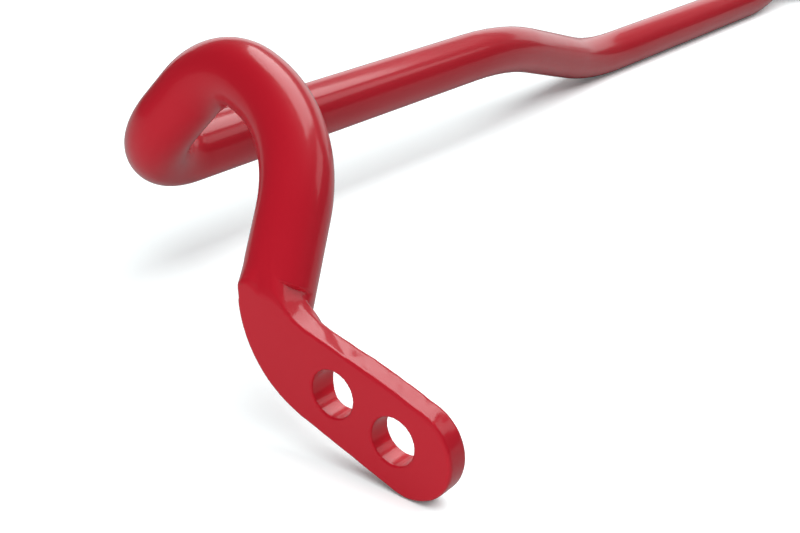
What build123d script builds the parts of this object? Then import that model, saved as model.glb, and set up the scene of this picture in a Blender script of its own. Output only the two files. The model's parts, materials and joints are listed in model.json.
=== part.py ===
"""Anti-roll (sway) bar with its chassis bushings, saddle brackets and locating collars.

Frame: X runs along the bar, Y points away from the paddles, Z is up. The bar rests on Z = 0 with its two
paddle tips and its low straights. All sizes are in millimetres.
"""
from build123d import *
from math import cos, radians, sin, sqrt
import os

# ---------------------------------------------------------------- driving dimensions: the bar
bar_diameter = 19.0
bar_radius = bar_diameter / 2
half_width = 690.0            # centre of the bar to the outer face of a paddle
low_axis_z = bar_radius       # the low straights lie on the ground
seat_axis_z = 20.0            # raised middle, where the bushings sit
seat_x = 85.0                 # centre of a bushing from the centre of the bar
rise_inner_x = 119.0          # corners of the small rise from the low straight to the middle
rise_outer_x = 158.0
rise_radius = 100.0
offset_inner_x = 336.8        # corners of the long offset bend, measured from the paddle's outer face
offset_outer_x = 240.6
offset_radius = 170.0
high_straight_y = -12.5       # the raised straight, from the pivot axis
high_straight_z = 36.8
arch_back_x = 35.8            # corners of the arch, measured from the paddle's outer face
arch_top = (44.7, -44.8, 76.5)
arch_front = (37.4, -83.6, 67.0)
arch_radius = 22.8
arm_radius = 48.0
foot_radius = 24.0

# ---------------------------------------------------------------- driving dimensions: the forged paddles
paddle_thickness = 6.7
paddle_half_width = 12.1
paddle_slope = 17.5           # degrees below horizontal, towards the tip
hole_radius = 6.15            # clearance for an M12 link bolt
hole_spacing = 18.8
tip_centre_s = 13.87          # centre of the round tip, along the paddle from the middle of the two holes
heel_radius = 29.0            # outside of the bend at the paddle's root
heel_centre_s = -16.0
heel_corner_radius = 6.0
root_top_n = 10.4             # upper edge of the flat at its root
root_top_s = -26.0            # from here it rises to the full half width
top_full_s = 4.0
foot = (-34.8, 4.4, 5.0)      # corner of the arm's centre line, in (s, n, t)
stem_end_s = -14.0
facet_at = (-30.0, 12.45)     # flat struck across the inside of the bend, in (s, n)
facet_angle = 32.4
facet_depth = 8.3
facet_top = 5.0               # how far up the arm it reaches from the foot
shelf_drop = 0.3              # the stem's top is struck down to this far below the upper edge
shelf_depth = 7.0             # beyond this it falls away at 45 degrees
ramp_end_s = -17.0            # the round stem has run out into the flat's inner side here
ramp_angle = 30.0
strike_relief = 0.02          # keeps the struck surfaces off the arm's own surface
outer_edge_radius = 0.9
inner_edge_radius = 1.2
hole_edge = 0.5
block_size = 300.0            # larger than anything it cuts

# ---------------------------------------------------------------- driving dimensions: bushings and brackets
bore_clearance = 0.05
bushing_radius = 16.0
bushing_flat_z = 16.0         # flat side of the D above the pivot axis
bushing_half_length = 17.0
lip_radius = 18.3
lip_length = 3.8
bushing_slit = 0.8
grease_channel_radius = 1.5
bracket_half_width = 13.0
bracket_gap = 0.1
bracket_thickness = 2.6
ear_reach = 38.0
ear_corner_radius = 9.0
bracket_bend_radius = 3.0
bracket_hole_radius = 5.25    # clearance for an M10 bolt
bracket_hole_y = 27.0
rib_half_width = 3.0
rib_height = 1.0

# ---------------------------------------------------------------- driving dimensions: grease fittings
fitting_thread_radius = 3.0
fitting_hex_flats = 8.0
fitting_hex_length = 4.0
fitting_neck_radius = 2.1
fitting_neck_length = 3.0
fitting_head_radius = 3.1
fitting_head_length = 3.4
fitting_bore_radius = 1.25
fitting_mouth_radius = 0.8
fitting_mouth_length = 0.9
ball_radius = 1.1
ball_clearance = 0.02
spring_radius = 0.85          # of the wire's centre line
spring_wire_radius = 0.2
spring_pitch = 0.8
spring_length = 6.4
fitting_clearance = 0.05

# ---------------------------------------------------------------- driving dimensions: locating collars
collar_radius = 17.0
collar_length = 11.0
collar_gap = 0.5              # running gap to the bushing's lip
collar_split = 1.0
collar_bore_clearance = 0.02
collar_edge = 0.8
screw_y = 13.2
screw_radius = 2.0
screw_head_radius = 3.5
screw_head_length = 4.0
screw_seat_z = 5.0            # underside of the screw's head above the pivot axis
screw_tip_z = -8.0
screw_socket_flats = 3.0
screw_socket_depth = 2.2
screw_clearance = 0.05

# ---------------------------------------------------------------- derived places
slope = radians(paddle_slope)
along = Vector(0, -cos(slope), -sin(slope))       # along the paddle, towards its tip
across = Vector(0, -sin(slope), cos(slope))       # across the paddle, upwards
tip_z = paddle_half_width                         # the tip touches the ground
holes_z = tip_z + tip_centre_s * sin(slope)
holes_y = -131.3                                  # middle of the two holes, from the pivot axis
tip_reach = holes_y - tip_centre_s * cos(slope) - paddle_half_width
pivot_y = -(tip_reach + ear_reach) / 2            # puts the origin in the middle of the whole box
paddle_mid_x = -half_width + paddle_thickness / 2
holes_middle = Vector(paddle_mid_x, pivot_y + holes_y, holes_z)


def at(x_from_face, y_from_pivot, z):
    """A point of the left half, given from the left paddle's outer face and the pivot axis."""
    return Vector(x_from_face - half_width, pivot_y + y_from_pivot, z)


def on_paddle(s, n, t=paddle_thickness / 2):
    """A point of the left forged end: s along it from the holes' middle, n across it, t inwards from its face."""
    return holes_middle + along * s + across * n + Vector(t - paddle_thickness / 2, 0, 0)


def mirrored(point):
    return Vector(-point.X, point.Y, point.Z)


# ---------------------------------------------------------------- the bar
def bar_path():
    """Centre line of the round bar, from one paddle's root to the other."""
    half = [
        (on_paddle(stem_end_s, foot[1], foot[2]), None),
        (on_paddle(*foot), foot_radius),
        (at(*arch_front), arm_radius),
        (at(*arch_top), arch_radius),
        (at(arch_back_x, high_straight_y, high_straight_z), arch_radius),
        (at(offset_outer_x, high_straight_y, high_straight_z), offset_radius),
        (at(offset_inner_x, 0, low_axis_z), offset_radius),
        (Vector(-rise_outer_x, pivot_y, low_axis_z), rise_radius),
        (Vector(-rise_inner_x, pivot_y, seat_axis_z), rise_radius),
    ]
    whole = half + [(mirrored(point), radius) for point, radius in reversed(half)]
    points = [point for point, radius in whole]
    radii = [radius for point, radius in whole if radius]
    return FilletPolyline(*points, radius=radii)


def round_bar():
    path = bar_path()
    section = Plane(path @ 0, z_dir=path % 0) * Circle(bar_radius)
    return sweep(section, path)


def paddle_outline():
    """Flat outline of the forged end in (s, n), a closed wire."""
    heel_centre_n = heel_radius - paddle_half_width
    heel_end = (heel_centre_s - sqrt(heel_radius ** 2 - (heel_centre_n - root_top_n) ** 2), root_top_n)
    diagonal = heel_radius / sqrt(2)
    heel_middle = (heel_centre_s - diagonal, heel_centre_n - diagonal)
    heel_start = (heel_centre_s, -paddle_half_width)
    tip_low = (tip_centre_s, -paddle_half_width)
    tip_far = (tip_centre_s + paddle_half_width, 0)
    tip_high = (tip_centre_s, paddle_half_width)
    top_full = (top_full_s, paddle_half_width)
    top_root = (root_top_s, root_top_n)
    third = (top_full_s - root_top_s) / 3
    rise = Bezier(
        top_full, (top_full_s - third, paddle_half_width), (root_top_s + third, root_top_n), top_root
    )
    edges = [
        Line(heel_start, tip_low),
        ThreePointArc(tip_low, tip_far, tip_high),
        Line(tip_high, top_full),
        rise,
        Line(top_root, heel_end),
        ThreePointArc(heel_end, heel_middle, heel_start),
    ]
    outline = make_face(edges)
    corner = outline.vertices().sort_by_distance(Vector(*heel_end))[0]
    return fillet(corner, heel_corner_radius)


def paddle_plane(x):
    """Plane across X whose own axes run along and across the left paddle."""
    return Plane(origin=(x, holes_middle.Y, holes_middle.Z), x_dir=along, z_dir=along.cross(across))


def slab(profile, depth_from, depth_to):
    """A profile in (s, n), given thickness between two depths inwards from the outer face."""
    outer = paddle_plane(depth_from - half_width)
    inward_sign = 1 if outer.z_dir.X > 0 else -1
    return extrude(outer * profile, amount=inward_sign * (depth_to - depth_from))


def paddle_plate():
    plate = slab(paddle_outline(), 0, paddle_thickness)
    faces = plate.faces().filter_by(Axis.X).sort_by(Axis.X)
    plate = fillet(faces[0].edges(), outer_edge_radius)
    inner = plate.faces().filter_by(Axis.X).sort_by(Axis.X)[-1]
    return fillet(inner.edges(), inner_edge_radius)


# ---------------------------------------------------------------- what the forging dies strike away
def lower_half_space(s, n, t, normal):
    """Block whose flat upper face passes through (s, n, t) and faces along normal, given in (s, n, t)."""
    upward = along * normal[0] + across * normal[1] + Vector(normal[2], 0, 0)
    face = Plane(on_paddle(s, n, t), z_dir=upward)
    return face * Pos(0, 0, -block_size / 2) * Box(block_size, block_size, block_size)


def facet_side(sign):
    """Everything below the facet's plane, or above it for a sign of -1."""
    lean = radians(facet_angle)
    return lower_half_space(facet_at[0], facet_at[1], 0, (sign * sin(lean), sign * cos(lean), 0))


def arm_core():
    """The straight round arm carried on past its foot, less the flat that the dies strike into it."""
    start = on_paddle(*foot)
    toward = (at(*arch_front) - start).normalized()
    core = Plane(start, z_dir=toward) * Cylinder(bar_radius + strike_relief, block_size)
    below_facet_top = Plane(start + toward * facet_top, z_dir=toward)
    below_facet_top = below_facet_top * Pos(0, 0, -block_size / 2) * Box(block_size, block_size, block_size)
    return core - (facet_side(-1) & below_facet_top)


def struck_waste():
    """Metal of the round stem that the dies move away beside the arm, above the shelf and the facet."""
    ramp = radians(ramp_angle)
    block = Pos(on_paddle(*foot)) * Sphere(2 * foot_radius)
    shelf = lower_half_space(0, root_top_n - shelf_drop, 0, (0, 1, 0))
    shelf = shelf & lower_half_space(0, root_top_n - shelf_drop, shelf_depth, (0, 1, 1))
    wedge = facet_side(1) & lower_half_space(0, 0, facet_depth, (0, 0, 1))
    inside_ramp = lower_half_space(ramp_end_s, 0, paddle_thickness, (sin(ramp), 0, cos(ramp)))
    kept = (shelf + wedge) & inside_ramp
    return block - kept - arm_core()


def hole_cutters():
    cutters = Part()
    reach = 4 * paddle_thickness
    for s in (-hole_spacing / 2, hole_spacing / 2):
        centre = Plane(on_paddle(s, 0), z_dir=(1, 0, 0))
        cutters += centre * Cylinder(hole_radius, reach)
        for side in (-1, 1):
            face = Plane(on_paddle(s, 0) + Vector(side * paddle_thickness / 2, 0, 0), z_dir=(side, 0, 0))
            cutters += face * Cone(hole_radius, hole_radius + 2 * hole_edge, 2 * hole_edge)
    return cutters


def outside_block():
    """Everything beyond the outer face of the left paddle."""
    middle = Pos(-half_width - block_size / 2, holes_middle.Y, holes_middle.Z)
    return middle * Box(block_size, block_size, block_size)


def build_bar():
    bar = round_bar()
    for turn in (False, True):
        steps = [struck_waste(), paddle_plate(), outside_block(), hole_cutters()]
        if turn:
            steps = [mirror(step, about=Plane.YZ) for step in steps]
        waste, plate, outside, holes = steps
        bar = bar - waste
        bar = bar + plate
        bar = bar - outside
        bar = bar - holes
    return bar


# ---------------------------------------------------------------- bushing, bracket and grease fitting
def seat_plane(x):
    """Plane across the pivot axis: its own X is row Y, its own Y is row Z, its normal is row X."""
    return Plane(origin=(x, pivot_y, seat_axis_z), x_dir=(0, 1, 0), z_dir=(1, 0, 0))


def d_shape(radius, flat_z):
    """Half round below the pivot axis, square above it, up to the flat."""
    square = Pos(0, flat_z / 2) * Rectangle(2 * radius, flat_z)
    return Circle(radius) - Pos(0, radius) * Rectangle(4 * radius, 2 * radius) + square


def build_bushing(x):
    section = d_shape(bushing_radius, bushing_flat_z)
    lip_section = d_shape(lip_radius, bushing_flat_z)
    body = extrude(seat_plane(x) * section, amount=bushing_half_length, both=True)
    for side in (-1, 1):
        middle = x + side * (bushing_half_length - lip_length / 2)
        body += extrude(seat_plane(middle) * lip_section, amount=lip_length / 2, both=True)
    body -= seat_plane(x) * Cylinder(bar_radius + bore_clearance, 4 * bushing_half_length)
    slit = Box(4 * bushing_half_length, bushing_slit, bushing_flat_z)
    body -= Pos(x, pivot_y, seat_axis_z + bushing_flat_z / 2 + bar_radius / 2) * slit
    channel = Cylinder(grease_channel_radius, bushing_radius)
    body -= Pos(x, pivot_y + bushing_radius, seat_axis_z) * Rot(90, 0, 0) * channel
    return body


def strap_profile():
    """Saddle bracket seen along the bar: a U under the bushing with two flat ears."""
    inner = bushing_radius + bracket_gap
    outer = inner + bracket_thickness
    profile = d_shape(outer, bushing_flat_z)
    ear_z = bushing_flat_z - bracket_thickness / 2
    profile += Pos(0, ear_z) * Rectangle(2 * ear_reach, bracket_thickness)
    corners = profile.vertices().filter_by(
        lambda v: abs(abs(v.X) - outer) < 0.01 and abs(v.Y - bushing_flat_z + bracket_thickness) < 0.01
    )
    profile = fillet(corners, bracket_bend_radius)
    return profile - d_shape(inner, 2 * bushing_flat_z)


def build_bracket(x):
    bracket = extrude(seat_plane(x) * strap_profile(), amount=bracket_half_width, both=True)
    ear_corners = bracket.edges().filter_by(Axis.Z).filter_by(
        lambda e: abs(abs(e.center().Y - pivot_y) - ear_reach) < 0.01
    )
    bracket = fillet(ear_corners, ear_corner_radius)
    outer = bushing_radius + bracket_gap + bracket_thickness
    rib = d_shape(outer + rib_height, bushing_radius / 2) - d_shape(outer - rib_height, bushing_flat_z)
    bracket += extrude(seat_plane(x) * rib, amount=rib_half_width, both=True)
    for side in (-1, 1):
        centre = Pos(x, pivot_y + side * bracket_hole_y, seat_axis_z + bushing_flat_z)
        bracket -= centre * Cylinder(bracket_hole_radius, 4 * bracket_thickness)
    thread = Cylinder(fitting_thread_radius + fitting_clearance, 4 * bracket_thickness)
    bracket -= Pos(x, pivot_y + outer, seat_axis_z) * Rot(90, 0, 0) * thread
    return bracket


fitting_start = bushing_radius + bracket_gap      # distances from the pivot axis along +Y
fitting_face = fitting_start + bracket_thickness + rib_height
fitting_hex_end = fitting_face + fitting_hex_length
fitting_neck_end = fitting_hex_end + fitting_neck_length
fitting_end = fitting_neck_end + fitting_head_length
mouth_start = fitting_end - fitting_mouth_length
ball_seat = sqrt(ball_radius ** 2 - fitting_mouth_radius ** 2) + ball_clearance
ball_y = mouth_start - ball_seat


def turned(x, radius, start, end):
    """Cylinder square to the pivot axis, pointing along +Y."""
    return Pos(x, pivot_y + (start + end) / 2, seat_axis_z) * Rot(90, 0, 0) * Cylinder(radius, end - start)


def build_grease_fitting(x):
    """Nipple screwed into the strap's rear side, pointing along +Y."""
    body = turned(x, fitting_thread_radius, fitting_start, fitting_face)
    hexagon = RegularPolygon(fitting_hex_flats / 2, 6, major_radius=False)
    hex_plane = Plane(origin=(x, pivot_y + fitting_face, seat_axis_z), x_dir=(1, 0, 0), z_dir=(0, 1, 0))
    body += extrude(hex_plane * hexagon, amount=fitting_hex_length)
    body += turned(x, fitting_neck_radius, fitting_hex_end, fitting_neck_end)
    head = turned(x, fitting_head_radius, fitting_neck_end, fitting_end)
    body += fillet(head.edges().sort_by(Axis.Y)[-1], fitting_head_radius / 2)
    body -= turned(x, fitting_bore_radius, fitting_start, mouth_start)
    return body - turned(x, fitting_mouth_radius, mouth_start, fitting_end)


def build_grease_ball(x):
    """Check ball that closes the nipple's mouth from inside."""
    return Pos(x, pivot_y + ball_y, seat_axis_z) * Sphere(ball_radius)


def build_grease_spring(x):
    """Spring that holds the check ball against the mouth."""
    coil = Helix(spring_pitch, spring_length, spring_radius)
    wire = sweep(Plane(coil @ 0, z_dir=coil % 0) * Circle(spring_wire_radius), coil, is_frenet=True)
    end_y = ball_y - ball_radius - spring_wire_radius
    return Pos(x, pivot_y + end_y, seat_axis_z) * Rot(90, 0, 0) * wire


# ---------------------------------------------------------------- locating collars
def collar_middle_x(side):
    return side * (seat_x - bushing_half_length - collar_gap - collar_length / 2)


def build_collar_half(x, upper):
    ring = seat_plane(x) * Cylinder(collar_radius, collar_length)
    ring = chamfer(ring.edges().filter_by(GeomType.CIRCLE), collar_edge)
    ring -= seat_plane(x) * Cylinder(bar_radius + collar_bore_clearance, 2 * collar_length)
    sign = 1 if upper else -1
    size = 4 * collar_radius
    other = Box(size, size, size)
    ring -= Pos(x, pivot_y, seat_axis_z - sign * (size / 2 - collar_split / 2)) * other
    for side in (-1, 1):
        y = pivot_y + side * screw_y
        shank = Cylinder(screw_radius + screw_clearance, abs(screw_seat_z - screw_tip_z))
        ring -= Pos(x, y, seat_axis_z + (screw_seat_z + screw_tip_z) / 2) * shank
        head = Cylinder(screw_head_radius + screw_clearance, collar_radius)
        ring -= Pos(x, y, seat_axis_z + screw_seat_z + collar_radius / 2) * head
    return ring


def build_collar_screws(x):
    """The two socket-head screws of one collar."""
    screws = []
    for side in (-1, 1):
        y = pivot_y + side * screw_y
        length = screw_seat_z - screw_tip_z
        screw = Pos(x, y, seat_axis_z + screw_tip_z + length / 2) * Cylinder(screw_radius, length)
        head_z = seat_axis_z + screw_seat_z
        screw += Pos(x, y, head_z + screw_head_length / 2) * Cylinder(screw_head_radius, screw_head_length)
        socket = extrude(
            RegularPolygon(screw_socket_flats / 2, 6, major_radius=False), amount=screw_socket_depth
        )
        screw -= Pos(x, y, head_z + screw_head_length - screw_socket_depth) * socket
        screws.append(screw)
    return Compound(screws)


def build_all():
    nodes = {"bar": build_bar()}
    for name, side in (("left", -1), ("right", 1)):
        nodes[name + "_bushing"] = build_bushing(side * seat_x)
        nodes[name + "_bracket"] = build_bracket(side * seat_x)
        nodes[name + "_grease_fitting"] = build_grease_fitting(side * seat_x)
        nodes[name + "_grease_ball"] = build_grease_ball(side * seat_x)
        nodes[name + "_grease_spring"] = build_grease_spring(side * seat_x)
        collar_x = collar_middle_x(side)
        nodes[name + "_collar_upper"] = build_collar_half(collar_x, True)
        nodes[name + "_collar_lower"] = build_collar_half(collar_x, False)
        nodes[name + "_collar_screws"] = build_collar_screws(collar_x)
    return nodes


os.makedirs("parts", exist_ok=True)
for node_name, shape in build_all().items():
    export_step(shape, "parts/" + node_name + ".step")
print("pivot_y", round(pivot_y, 3), "holes_middle", holes_middle)
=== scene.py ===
"""Looks for the sway bar: red powder-coated bar, urethane bushings, plated brackets, collars and fittings."""
import json
from math import acos, atan2, ceil, cos, inf, pi, radians, sin, sqrt, tan

import bmesh
import bpy
import numpy as np
from mathutils import Matrix, Vector


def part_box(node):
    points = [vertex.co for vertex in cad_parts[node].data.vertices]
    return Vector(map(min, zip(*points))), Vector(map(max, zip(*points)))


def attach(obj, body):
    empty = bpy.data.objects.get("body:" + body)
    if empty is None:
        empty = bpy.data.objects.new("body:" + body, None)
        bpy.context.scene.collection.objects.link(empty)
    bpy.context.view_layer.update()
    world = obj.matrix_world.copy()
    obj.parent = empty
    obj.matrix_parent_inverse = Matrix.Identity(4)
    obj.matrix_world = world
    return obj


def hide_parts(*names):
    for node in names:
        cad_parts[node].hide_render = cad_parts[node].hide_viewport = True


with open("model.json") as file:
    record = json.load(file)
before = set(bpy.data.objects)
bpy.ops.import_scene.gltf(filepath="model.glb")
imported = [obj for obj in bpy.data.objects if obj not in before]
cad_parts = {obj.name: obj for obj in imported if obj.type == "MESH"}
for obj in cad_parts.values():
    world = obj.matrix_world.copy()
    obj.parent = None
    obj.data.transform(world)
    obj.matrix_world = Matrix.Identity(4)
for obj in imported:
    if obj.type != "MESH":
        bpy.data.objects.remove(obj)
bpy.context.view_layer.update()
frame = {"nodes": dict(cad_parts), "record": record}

MM = 0.001
nodes = frame["nodes"]
bar_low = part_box("bar")[0]
outer_face_x = bar_low.x
pivot_y = next(j["pos_m"][1] for j in frame["record"]["behaviour"]["joints"])


# ---------------------------------------------------------------- the bar: sizes in millimetres
BAR_RADIUS = 9.5
LOW_AXIS_Z = 9.5
SEAT_AXIS_Z = 20.0
RISE_CORNERS_X = (158.0, 119.0)      # from the middle of the bar
RISE_RADIUS = 100.0
OFFSET_CORNERS = (240.6, 336.8)      # from the outer face of the paddle
OFFSET_RADIUS = 170.0
HIGH_STRAIGHT = (-12.5, 36.8)        # from the pivot axis, and above the ground
ARCH_BACK_X = 35.8
ARCH_TOP = (44.7, -44.8, 76.5)
ARCH_FRONT = (37.4, -83.6, 67.0)
ARCH_RADIUS = 22.8
ARM_RADIUS = 48.0
RING_POINTS = 72
TURN_STEP = radians(3.0)
LONGEST_STEP = 9.0

# the forged end, in its own axes: s towards the tip, n across it upwards, t inwards from the outer face
PADDLE_SLOPE = radians(17.5)
THICKNESS = 6.7
HALF_WIDTH = 12.1
TIP_CENTRE = 13.87
HEEL_CENTRE = (-16.0, 17.0)
HEEL_RADIUS = 29.0
FOOT = (-34.8, 4.4, 5.0)             # corner of the arm's centre line and the stem's
FOOT_RADIUS = 24.0
JOIN_HEIGHT = 25.0                   # the swept bar takes over this far above the foot
ROOT_TOP = 10.4                      # upper edge of the flat at its root
TOP_FULL_S = 4.0                     # where the upper edge has reached the full half width
ROOT_TOP_S = -26.0
HEEL_CORNER = 6.0
RAMP_END_S = -17.0                   # the ramp on the inner side has run out into the flat here
RAMP_ANGLE = radians(30)
RAMP_EDGE = 4.0
OUTER_EDGE = 0.9
INNER_EDGE = 1.2
HOLE_EDGE = 0.45
FACET_AT = (-30.0, 12.45)            # flat struck across the inside of the bend
FACET_ANGLE = radians(32.4)
FACET_DEPTH = 8.3
FACET_TOP = 5.0                      # how far up the arm it reaches from the foot
FACET_FILLET = 3.0
FACET_EDGE = 0.7
SHELF_DEPTH = 7.0                    # beyond this the stem falls away from the upper edge at 45 degrees
SHELF_EDGE = 1.2
BLEND_NEAR = 1.0                     # root fillet beside the outer face
BLEND_FAR = 7.0                      # and on the inner side
BLEND_HEEL = 5.0                     # what the heel adds to it
HEEL_BLEND_S = (-42.0, -36.0)        # the heel's wider root fillet fades out towards the tip here
HEEL_BLEND_N = (5.0, 10.0)
INNER_BLEND_T = (3.0, 9.0)           # the inner side's fillet grows with the depth
INNER_BLEND_N = (3.0, 8.0)           # and fades out towards the upper edge
CELL = 0.5
GRID_LOW = (-62.0, -13.5, -1.0)
GRID_HIGH = (27.5, 34.0, 34.0)
PROBE = 0.02
SETTLE_STEPS = 4                     # moves onto the surface before the net is evened out
EVEN_STEPS = 2                       # moves after each evening pass
EVEN_PASSES = 3
LEAST_SLOPE = 0.1                    # keeps a settling point from jumping where the field is flat
WAVE_HEIGHT = 0.035                  # unevenness of the struck edges
WAVES = (                            # rate along s, rate along t, shift, share
    (0.55, 0.9, 1.3, 1.0),
    (0.93, -0.5, 0.4, 0.7),
    (1.7, 1.1, 0.0, 0.5),
)
WAVE_EDGE_N = (7.0, 11.0)            # the waves grow in towards the edges
WAVE_START_S = (-36.0, -20.0)        # and from the foot towards the tip

# ---------------------------------------------------------------- looks
METAL_SHARE = 0.65                   # plated and brushed metal scatters part of its light like a pale paint
PEEL_HEIGHT = 0.00001                # orange peel of the powder coat, in metres
RUBBER_GRAIN = 0.00004
METAL_GRAIN = 0.00001
FLOOR_SIZE = 40.0
FLOOR_GAP = 0.0002                   # the floor lies just below the bar
FLOOR_LIFT = 0.12                    # the camera sees the floor this much brighter, as blown out white
FLOOR_BOUNCE = (0.30, 0.31, 0.31)    # how pale the floor is in reflections and in the light it throws up
FLOOR_TINT = (0.92, 1.0, 1.0)
ROOM_LIGHT = 0.04
CAMERA_PLACE = (-204.0, -290.3, 171.0)   # from the outer face, from the pivot axis, above the ground
CAMERA_YAW, CAMERA_PITCH, CAMERA_ROLL = radians(36.25), radians(24.18), radians(2.2)
CAMERA_LENS = 58.5
ARCH_AIM = (40.0, -80.0, 50.0)       # middle of the arch, measured like CAMERA_PLACE

# ---------------------------------------------------------------- places, from the frame
mounts = {mount["name"]: mount for mount in frame["record"]["mounts"]}
inner_hole = Vector(mounts["left_link_hole_inner"]["pos_m"]) / MM
outer_hole = Vector(mounts["left_link_hole_outer"]["pos_m"]) / MM
HOLE_SPACING = (inner_hole - outer_hole).length
HOLE_RADIUS = mounts["left_link_hole_inner"]["dims"]["r_mm"]
along = Vector((0, -cos(PADDLE_SLOPE), -sin(PADDLE_SLOPE)))
across = Vector((0, -sin(PADDLE_SLOPE), cos(PADDLE_SLOPE)))
inward = Vector((1, 0, 0))
paddle_origin = (inner_hole + outer_hole) / 2
paddle_origin.x = bar_low.x / MM
pivot_y_mm = pivot_y / MM


def at(x_from_face, y_from_pivot, z):
    return Vector((bar_low.x / MM + x_from_face, pivot_y_mm + y_from_pivot, z))


def to_row(q):
    """Paddle axes to row axes, for an array of points."""
    axes = np.array([along, across, inward])
    return q @ axes + np.array(paddle_origin)


def to_paddle(point):
    v = point - paddle_origin
    return Vector((v.dot(along), v.dot(across), v.dot(inward)))


def round_max(a, b, r):
    """Intersection of two solids with the shared edge rounded to r."""
    return np.minimum(np.maximum(a, b), -r) + np.hypot(np.maximum(a + r, 0), np.maximum(b + r, 0))


def round_min(a, b, r):
    """Union of two solids with a fillet of r."""
    return np.maximum(np.minimum(a, b), r) - np.hypot(np.maximum(r - a, 0), np.maximum(r - b, 0))


def smooth(x, start, end):
    u = np.clip((x - start) / (end - start), 0, 1)
    return u * u * (3 - 2 * u)


arm_direction = (to_paddle(at(*ARCH_FRONT)) - Vector(FOOT)).normalized()


def stem_distance(q):
    """The round arm, its bend at the foot and the ramp that runs out into the flat."""
    s, n, t = q.T
    foot, arm, onward = np.array(FOOT), np.array(arm_direction), np.array((1.0, 0, 0))
    turn = pi - acos(arm @ onward)
    tangent = FOOT_RADIUS * tan(turn / 2)
    bisector = (arm + onward) / np.linalg.norm(arm + onward)
    centre = foot + bisector * FOOT_RADIUS / cos(turn / 2)
    first = (foot + arm * tangent - centre) / FOOT_RADIUS
    side = np.cross(first, -arm)
    v = q - centre
    x1, x2, x3 = v @ first, v @ -arm, v @ side
    angle = np.arctan2(x2, x1)
    on_arm = np.hypot(x1 - FOOT_RADIUS, x3) - BAR_RADIUS
    on_bend = np.hypot(np.hypot(x1, x2) - FOOT_RADIUS, x3) - BAR_RADIUS
    on_stem = np.hypot(n - FOOT[1], t - FOOT[2]) - BAR_RADIUS
    bent = np.where(angle < 0, on_arm, np.where(angle < turn, on_bend, on_stem))
    shelf = round_max(n - top_edge(s), (n - top_edge(s) + t - SHELF_DEPTH) / sqrt(2), SHELF_EDGE)
    facet = (s - FACET_AT[0]) * sin(FACET_ANGLE) + (n - FACET_AT[1]) * cos(FACET_ANGLE)
    wedge = round_max(facet, t - FACET_DEPTH, FACET_EDGE)
    run_out = (t - THICKNESS) * cos(RAMP_ANGLE) + (s - RAMP_END_S) * sin(RAMP_ANGLE)
    lower = round_max(round_min(wedge, shelf, FACET_FILLET), run_out, RAMP_EDGE)
    struck = round_max(on_arm, np.minimum(facet, FACET_TOP - (q - foot) @ arm), FACET_EDGE)
    return np.minimum(np.maximum(bent, struck), round_max(bent, lower, SHELF_EDGE))


def top_edge(s):
    return ROOT_TOP + (HALF_WIDTH - ROOT_TOP) * smooth(s, ROOT_TOP_S, TOP_FULL_S)


def outline_distance(s, n):
    heel = np.hypot(s - HEEL_CENTRE[0], n - HEEL_CENTRE[1]) - HEEL_RADIUS
    lower = np.where(s < HEEL_CENTRE[0], heel, -n - HALF_WIDTH)
    sides = round_max(lower, n - top_edge(s), HEEL_CORNER)
    tip = np.hypot(s - TIP_CENTRE, n) - HALF_WIDTH
    return np.where(s > TIP_CENTRE, tip, sides)


def forging_waves(s, n, t):
    """Slight unevenness of the hammered edges, in millimetres."""
    waves = sum(share * np.sin(a * s + b * t + shift) for a, b, shift, share in WAVES)
    return WAVE_HEIGHT * waves * smooth(np.abs(n), *WAVE_EDGE_N) * smooth(s, *WAVE_START_S)


def end_distance(q):
    """Distance from the surface of the whole forged end; negative inside."""
    s, n, t = q.T
    plate = round_max(outline_distance(s, n), t - THICKNESS, INNER_EDGE)
    inner_side = smooth(t, *INNER_BLEND_T) * (1 - smooth(n, *INNER_BLEND_N))
    heel = (1 - smooth(s, *HEEL_BLEND_S)) * smooth(n, *HEEL_BLEND_N)
    blend = BLEND_NEAR + (BLEND_FAR - BLEND_NEAR) * inner_side + BLEND_HEEL * heel * (1 - inner_side)
    body = round_min(stem_distance(q), plate, blend) + forging_waves(s, n, t)
    body = round_max(body, -t, OUTER_EDGE)
    for hole_s in (-HOLE_SPACING / 2, HOLE_SPACING / 2):
        hole = HOLE_RADIUS - np.hypot(s - hole_s, n)
        body = round_max(body, hole, HOLE_EDGE)
    return body


def gradient(field, q):
    steps = PROBE * np.eye(3)
    return np.stack([field(q + step) - field(q - step) for step in steps], -1) / (2 * PROBE)


def settle(field, q, times):
    """Moves points onto the surface field = 0."""
    for _ in range(times):
        g = gradient(field, q)
        q = q - g * (field(q) / np.maximum((g * g).sum(1), LEAST_SLOPE))[:, None]
    return q


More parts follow.
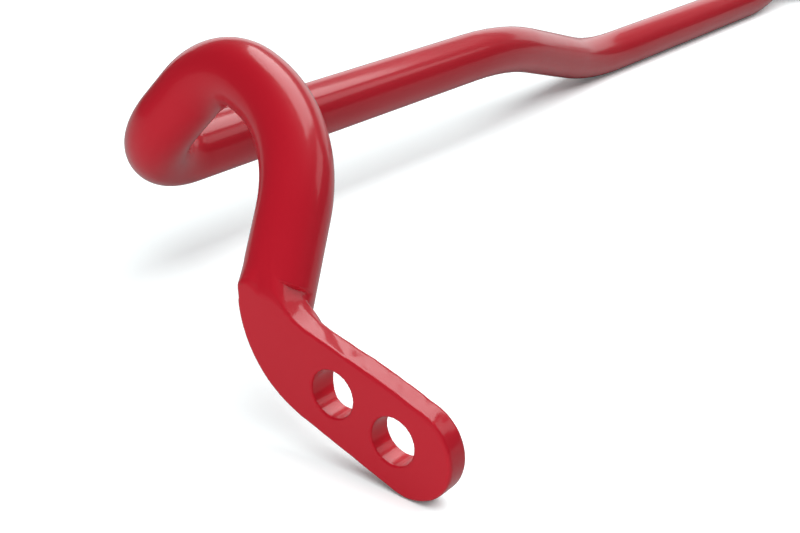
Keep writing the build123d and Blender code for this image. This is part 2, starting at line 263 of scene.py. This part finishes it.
def surface_net(field):
    """Quad mesh of field = 0: a point in each crossed grid cell, a quad over each crossed grid edge."""
    counts = [int((high - low) / CELL) + 1 for low, high in zip(GRID_LOW, GRID_HIGH)]
    steps = [low + CELL * np.arange(count) for low, count in zip(GRID_LOW, counts)]
    grid = np.stack(np.meshgrid(*steps, indexing="ij"), -1).reshape(-1, 3)
    inside = (field(grid) < 0).reshape(counts)
    corners = [inside[i:counts[0] - 1 + i, j:counts[1] - 1 + j, k:counts[2] - 1 + k]
               for i in (0, 1) for j in (0, 1) for k in (0, 1)]
    crossed = np.any(corners, axis=0) & ~np.all(corners, axis=0)
    number = np.full(crossed.shape, -1)
    number[crossed] = np.arange(crossed.sum())
    points = np.array(GRID_LOW) + CELL * (np.argwhere(crossed) + 0.5)
    quads = []
    for axis in range(3):
        u, v = (axis + 1) % 3, (axis + 2) % 3
        here = np.moveaxis(inside, (axis, u, v), (0, 1, 2))[:, 1:-1, 1:-1]
        cells = np.moveaxis(number, (axis, u, v), (0, 1, 2))
        i, j, k = np.nonzero(here[:-1] != here[1:])
        ring = np.stack([cells[i, j, k], cells[i, j + 1, k], cells[i, j + 1, k + 1], cells[i, j, k + 1]], -1)
        flip = here[i, j, k]             # the paddle's own axes are left-handed
        ring[flip] = ring[flip][:, ::-1]
        quads.append(ring)
    return points, np.concatenate(quads)


def relaxed(field, points, quads, times):
    """Evens out the net along the surface."""
    points = settle(field, points, SETTLE_STEPS)
    starts, ends = quads.ravel(), np.roll(quads, -1, axis=1).ravel()
    links = np.bincount(starts, minlength=len(points)) + np.bincount(ends, minlength=len(points))
    for _ in range(times):
        total = np.stack([np.bincount(starts, points[ends, c], len(points))
                          + np.bincount(ends, points[starts, c], len(points)) for c in range(3)], -1)
        average = total / np.maximum(links, 1)[:, None]
        points = settle(field, (points + average) / 2, EVEN_STEPS)
    return points


def rounded_path(corners, radii):
    """Points and directions along straight runs joined by tangent arcs."""
    points, directions = [], []

    def add_run(start, end, direction):
        steps = max(1, ceil((end - start).length / LONGEST_STEP))
        for i in range(steps):
            points.append(start.lerp(end, i / steps))
            directions.append(direction)

    position = corners[0]
    for before, corner, after, radius in zip(corners, corners[1:], corners[2:], radii):
        back, onward = (before - corner).normalized(), (after - corner).normalized()
        turn = pi - back.angle(onward)
        tangent = radius * tan(turn / 2)
        start = corner + back * tangent
        add_run(position, start, -back)
        centre = corner + (back + onward).normalized() * radius / cos(turn / 2)
        outward = (start - centre) / radius
        steps = ceil(turn / TURN_STEP)
        for angle in (turn * i / steps for i in range(steps)):
            points.append(centre + (outward * cos(angle) - back * sin(angle)) * radius)
            directions.append(-outward * sin(angle) - back * cos(angle))
        position = corner + onward * tangent
    last = (corners[-1] - position).normalized()
    add_run(position, corners[-1], last)
    return points + [corners[-1]], directions + [last]


def half_path():
    """Centre line from the join above the left paddle to the middle of the bar."""
    foot = Vector(to_row(np.array(FOOT)))
    front = at(*ARCH_FRONT)
    corners = [
        foot + (front - foot).normalized() * (JOIN_HEIGHT + CELL),
        front,
        at(*ARCH_TOP),
        at(ARCH_BACK_X, *HIGH_STRAIGHT),
        at(OFFSET_CORNERS[0], *HIGH_STRAIGHT),
        at(OFFSET_CORNERS[1], 0, LOW_AXIS_Z),
        Vector((-RISE_CORNERS_X[0], pivot_y_mm, LOW_AXIS_Z)),
        Vector((-RISE_CORNERS_X[1], pivot_y_mm, SEAT_AXIS_Z)),
        Vector((0, pivot_y_mm, SEAT_AXIS_Z)),
    ]
    radii = [ARM_RADIUS, ARCH_RADIUS, ARCH_RADIUS, OFFSET_RADIUS, OFFSET_RADIUS, RISE_RADIUS, RISE_RADIUS]
    return rounded_path(corners, radii)


def swept_rings(points, directions):
    """Rings of the round bar with a frame that doesn't twist: points, normals and the first frame."""
    u = directions[0].orthogonal().normalized()
    first = (points[0], directions[0], u, directions[0].cross(u))
    angles = 2 * pi * np.arange(RING_POINTS) / RING_POINTS
    rings, normals = [], []
    for point, direction in zip(points, directions):
        u = (u - direction * u.dot(direction)).normalized()
        radial = np.outer(np.cos(angles), u) + np.outer(np.sin(angles), direction.cross(u))
        rings.append(np.array(point) + BAR_RADIUS * radial)
        normals.append(radial)
    return np.concatenate(rings), np.concatenate(normals), first


def forged_end():
    """Points, faces and normals of the left forged end, cut square across the arm, in row axes."""
    points, quads = surface_net(end_distance)
    points = relaxed(end_distance, points, quads, EVEN_PASSES)
    cut = np.array(FOOT) + np.array(arm_direction) * JOIN_HEIGHT
    mesh = bmesh.new()
    verts = [mesh.verts.new(point) for point in points]
    for quad in quads:
        mesh.faces.new([verts[i] for i in quad])
    everything = mesh.verts[:] + mesh.edges[:] + mesh.faces[:]
    bmesh.ops.bisect_plane(mesh, geom=everything, plane_co=cut, plane_no=arm_direction, clear_outer=True)
    rim = [vert for vert in mesh.verts if vert.is_boundary]
    bmesh.ops.remove_doubles(mesh, verts=rim, dist=CELL / 4)
    mesh.verts.index_update()
    points = np.array([vert.co for vert in mesh.verts])
    faces = [[vert.index for vert in face.verts] for face in mesh.faces]
    rim = [vert.index for vert in mesh.verts if vert.is_boundary]
    mesh.free()
    normals = gradient(end_distance, points)
    axes = np.array([along, across, inward])
    return to_row(points), faces, normals @ axes, rim


def zip_rings(rim, rim_angles, ring, ring_angles):
    """Triangles between two closed loops, each sorted by angle."""
    faces = []
    i = j = 0
    while i < len(rim) or j < len(ring):
        next_rim = rim_angles[i] if i < len(rim) else inf
        next_ring = ring_angles[j] if j < len(ring) else inf
        here, there = rim[(i - 1) % len(rim)], ring[(j - 1) % len(ring)]
        if next_rim <= next_ring:
            faces.append([here, rim[i], there])
            i += 1
        else:
            faces.append([here, ring[j], there])
            j += 1
    return faces


def build_bar():
    """The whole bar: forged end and swept half on the left, mirrored to the right."""
    end_points, faces, end_normals, rim = forged_end()
    path_points, path_directions = half_path()
    ring_points, ring_normals, (centre, direction, u, v) = swept_rings(path_points, path_directions)
    base = len(end_points)

    def angle_of(index):
        radial = Vector(end_points[index]) - centre
        return atan2(radial.dot(v), radial.dot(u)) % (2 * pi)

    rim = sorted(rim, key=angle_of)
    for index in rim:
        angle = angle_of(index)
        radial = u * cos(angle) + v * sin(angle)
        end_points[index] = centre - direction * CELL + radial * BAR_RADIUS
        end_normals[index] = radial
    ring_angles = [2 * pi * i / RING_POINTS for i in range(RING_POINTS)]
    faces += zip_rings(rim, [angle_of(i) for i in rim], [base + i for i in range(RING_POINTS)], ring_angles)
    for row in range(len(path_points) - 1):
        for i in range(RING_POINTS):
            a, b = base + row * RING_POINTS + i, base + row * RING_POINTS + (i + 1) % RING_POINTS
            faces.append([a, b, b + RING_POINTS, a + RING_POINTS])
    points = np.concatenate([end_points, ring_points])
    normals = np.concatenate([end_normals, ring_normals])
    shared = len(points) - RING_POINTS       # the middle ring belongs to both halves
    flip = np.array((-1, 1, 1))
    mirror = np.concatenate([np.arange(shared) + len(points), np.arange(shared, len(points))])
    faces += [[int(mirror[i]) for i in reversed(face)] for face in faces]
    points = np.concatenate([points, points[:shared] * flip])
    normals = np.concatenate([normals, normals[:shared] * flip])
    normals /= np.linalg.norm(normals, axis=1)[:, None]

    mesh = bpy.data.meshes.new("sway_bar")
    mesh.from_pydata((points * MM).tolist(), [], faces)
    mesh.polygons.foreach_set("use_smooth", [True] * len(mesh.polygons))
    mesh.normals_split_custom_set_from_vertices(normals.tolist())
    bar = bpy.data.objects.new("sway_bar", mesh)
    bpy.context.scene.collection.objects.link(bar)
    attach(bar, "bar")
    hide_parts("bar")
    return bar


# ---------------------------------------------------------------- node helpers
def new_material(name):
    material = bpy.data.materials.new(name)
    material.use_nodes = True
    tree = material.node_tree
    shader = tree.nodes["Principled BSDF"]
    return material, tree, shader


def object_position(tree):
    return tree.nodes.new("ShaderNodeTexCoord").outputs["Object"]


def noise(tree, scale, detail=3.0):
    node = tree.nodes.new("ShaderNodeTexNoise")
    node.inputs["Scale"].default_value = scale
    node.inputs["Detail"].default_value = detail
    tree.links.new(object_position(tree), node.inputs["Vector"])
    return node.outputs["Fac"]


def ramp(tree, factor, *stops):
    """Colour ramp of (position, colour) stops."""
    node = tree.nodes.new("ShaderNodeValToRGB")
    elements = node.color_ramp.elements
    while len(elements) < len(stops):
        elements.new(0.5)
    for element, (position, colour) in zip(elements, stops):
        element.position = position
        element.color = (*colour, 1.0)
    tree.links.new(factor, node.inputs["Fac"])
    return node.outputs["Color"]


def bump(tree, height, distance):
    node = tree.nodes.new("ShaderNodeBump")
    node.inputs["Distance"].default_value = distance
    tree.links.new(height, node.inputs["Height"])
    return node.outputs["Normal"]


def grey(value):
    return (value, value, value)


# ---------------------------------------------------------------- materials
def red_powder_coat():
    """Deep signal red under a smooth gloss skin, with the faint orange peel of baked powder."""
    material, tree, shader = new_material("red_powder_coat")
    deep, bright = (0.62, 0.012, 0.028), (0.66, 0.014, 0.032)
    colour = ramp(tree, noise(tree, 14.0, 2.0), (0.35, deep), (0.65, bright))
    tree.links.new(colour, shader.inputs["Base Color"])
    rough = ramp(tree, noise(tree, 60.0), (0.3, grey(0.36)), (0.7, grey(0.44)))
    tree.links.new(rough, shader.inputs["Roughness"])
    shader.inputs["Specular IOR Level"].default_value = 0.16
    shader.inputs["Coat Weight"].default_value = 1.0
    shader.inputs["Coat IOR"].default_value = 1.28
    shader.inputs["Coat Roughness"].default_value = 0.13
    orange_peel = bump(tree, noise(tree, 420.0, 1.0), PEEL_HEIGHT)
    tree.links.new(orange_peel, shader.inputs["Normal"])
    tree.links.new(orange_peel, shader.inputs["Coat Normal"])
    return material


def black_urethane():
    material, tree, shader = new_material("black_urethane")
    colour = ramp(tree, noise(tree, 90.0), (0.3, grey(0.018)), (0.7, grey(0.032)))
    tree.links.new(colour, shader.inputs["Base Color"])
    rough = ramp(tree, noise(tree, 240.0), (0.3, grey(0.42)), (0.7, grey(0.55)))
    tree.links.new(rough, shader.inputs["Roughness"])
    tree.links.new(bump(tree, noise(tree, 900.0), RUBBER_GRAIN), shader.inputs["Normal"])
    return material


def plated_metal(name, dark, light, rough_low, rough_high):
    """Plated or machined metal: cloudy tone, fine surface grain."""
    material, tree, shader = new_material(name)
    colour = ramp(tree, noise(tree, 70.0, 4.0), (0.3, dark), (0.7, light))
    tree.links.new(colour, shader.inputs["Base Color"])
    shader.inputs["Metallic"].default_value = METAL_SHARE
    rough = ramp(tree, noise(tree, 300.0), (0.3, grey(rough_low)), (0.7, grey(rough_high)))
    tree.links.new(rough, shader.inputs["Roughness"])
    tree.links.new(bump(tree, noise(tree, 1500.0), METAL_GRAIN), shader.inputs["Normal"])
    return material


def paint_nodes(material, *names):
    for name in names:
        for slot in nodes[name].material_slots:
            slot.material = material


def paint_frame():
    red = red_powder_coat()
    urethane = black_urethane()
    zinc = plated_metal("zinc_plated_steel", (0.56, 0.57, 0.57), (0.66, 0.66, 0.65), 0.28, 0.38)
    brass = plated_metal("brass", (0.66, 0.48, 0.20), (0.78, 0.60, 0.30), 0.22, 0.34)
    aluminium = plated_metal("collar_aluminium", (0.62, 0.63, 0.65), (0.74, 0.75, 0.77), 0.30, 0.40)
    oxide = plated_metal("black_oxide_screw", grey(0.05), grey(0.09), 0.36, 0.48)
    build_bar().data.materials.append(red)
    for side in ("left_", "right_"):
        paint_nodes(urethane, side + "bushing")
        paint_nodes(zinc, side + "bracket", side + "grease_ball", side + "grease_spring")
        paint_nodes(brass, side + "grease_fitting")
        paint_nodes(aluminium, side + "collar_upper", side + "collar_lower")
        paint_nodes(oxide, side + "collar_screws")


# ---------------------------------------------------------------- stage, lights and camera
def add_floor():
    """Pale paper, which the camera sees brighter than reflections and bounced light do."""
    bpy.ops.mesh.primitive_plane_add(size=FLOOR_SIZE, location=(0, 0, bar_low.z - FLOOR_GAP))
    floor = bpy.context.object
    floor.name = "floor"
    material, tree, shader = new_material("floor_white")
    seen = ramp(tree, noise(tree, 0.8), (0.3, (0.87, 0.93, 0.935)), (0.7, (0.89, 0.95, 0.955)))
    paths = tree.nodes.new("ShaderNodeLightPath")
    blend = tree.nodes.new("ShaderNodeMix")
    blend.data_type = "RGBA"
    blend.inputs["A"].default_value = (*FLOOR_BOUNCE, 1.0)
    tree.links.new(paths.outputs["Is Camera Ray"], blend.inputs["Factor"])
    tree.links.new(seen, blend.inputs["B"])
    tree.links.new(blend.outputs["Result"], shader.inputs["Base Color"])
    shader.inputs["Roughness"].default_value = 0.9
    shader.inputs["Specular IOR Level"].default_value = 0.1
    shader.inputs["Emission Color"].default_value = (*FLOOR_TINT, 1.0)
    glow = ramp(tree, paths.outputs["Is Camera Ray"], (0.0, grey(0.0)), (1.0, grey(FLOOR_LIFT)))
    tree.links.new(glow, shader.inputs["Emission Strength"])
    floor.data.materials.append(material)
    return floor


def add_softbox(name, aim, azimuth, elevation, distance, size, radiance, in_reflections=True):
    """Rectangular light seen from aim at these angles in degrees; azimuth runs from +X towards +Y."""
    light = bpy.data.lights.new(name, "AREA")
    light.shape = "RECTANGLE"
    light.size, light.size_y = size
    light.energy = radiance * pi * size[0] * size[1]
    lamp = bpy.data.objects.new(name, light)
    bpy.context.scene.collection.objects.link(lamp)
    turn, rise = radians(azimuth), radians(elevation)
    toward = Vector((cos(turn) * cos(rise), sin(turn) * cos(rise), sin(rise)))
    lamp.location = aim + toward * distance
    lamp.rotation_euler = (-toward).to_track_quat("-Z", "Y").to_euler()
    lamp.visible_camera = False
    lamp.visible_glossy = in_reflections
    return lamp


def link_light(lamp, floor, state):
    """Light only the floor (INCLUDE) or everything but the floor (EXCLUDE)."""
    receivers = bpy.data.collections.new(lamp.name + "_receivers")
    receivers.objects.link(floor)
    lamp.light_linking.receiver_collection = receivers
    receivers.collection_objects[0].light_linking.link_state = state


def add_world(radiance):
    """A dim room that looks white where the camera sees past the floor."""
    world = bpy.data.worlds.new("studio")
    bpy.context.scene.world = world
    world.use_nodes = True
    tree = world.node_tree
    paths = tree.nodes.new("ShaderNodeLightPath")
    level = ramp(tree, paths.outputs["Is Camera Ray"], (0.0, grey(radiance)), (1.0, grey(1.0)))
    tree.links.new(level, tree.nodes["Background"].inputs["Color"])


def add_lights(floor):
    """Softbox, wall, card and two fills on the object; an overhead light and a ceiling on the floor only."""
    arch = Vector((outer_face_x, pivot_y, 0)) + Vector(ARCH_AIM) * MM
    floor_lights = [
        add_softbox("overhead", Vector((-0.45, pivot_y, 0)), 270.0, 68.0, 2.0, (3.0, 2.0), 3.6),
        add_softbox("ceiling", Vector((0, 0, 0)), 0.0, 90.0, 6.0, (20.0, 20.0), 0.54),
    ]
    for lamp in floor_lights:
        link_light(lamp, floor, "INCLUDE")
    object_lights = [
        add_softbox("softbox", arch, 15.0, 56.0, 2.6, (2.2, 1.6), 5.0),
        add_softbox("white_wall", arch, 32.0, 11.0, 2.5, (4.2, 1.0), 1.0),
        add_softbox("front_fill", arch, 202.0, 20.0, 1.7, (1.7, 1.1), 2.4, in_reflections=False),
        add_softbox("left_fill", arch, 180.0, 20.0, 2.0, (2.0, 1.5), 0.8, in_reflections=False),
        add_softbox("card", arch, -36.0, 31.0, 2.5, (1.1, 0.7), 2.0),
    ]
    for lamp in object_lights:
        link_light(lamp, floor, "EXCLUDE")
    add_world(ROOM_LIGHT)


def add_camera():
    """Low three-quarter view along the bar from beyond the left paddle."""
    place = Vector((outer_face_x, pivot_y, 0)) + Vector(CAMERA_PLACE) * MM
    level = cos(CAMERA_PITCH)
    forward = Vector((level * cos(CAMERA_YAW), level * sin(CAMERA_YAW), -sin(CAMERA_PITCH)))
    level_right = forward.cross(Vector((0, 0, 1))).normalized()
    level_up = level_right.cross(forward)
    right = level_right * cos(CAMERA_ROLL) + level_up * sin(CAMERA_ROLL)
    up = level_up * cos(CAMERA_ROLL) - level_right * sin(CAMERA_ROLL)
    data = bpy.data.cameras.new("camera")
    data.sensor_width = 36.0
    data.lens = CAMERA_LENS
    data.clip_start = 0.01
    camera = bpy.data.objects.new("camera", data)
    axes = Matrix((right, up, -forward)).transposed()
    camera.matrix_world = Matrix.Translation(place) @ axes.to_4x4()
    bpy.context.scene.collection.objects.link(camera)
    bpy.context.scene.camera = camera


paint_frame()
add_lights(add_floor())
add_camera()
bpy.context.scene.view_settings.view_transform = "Standard"
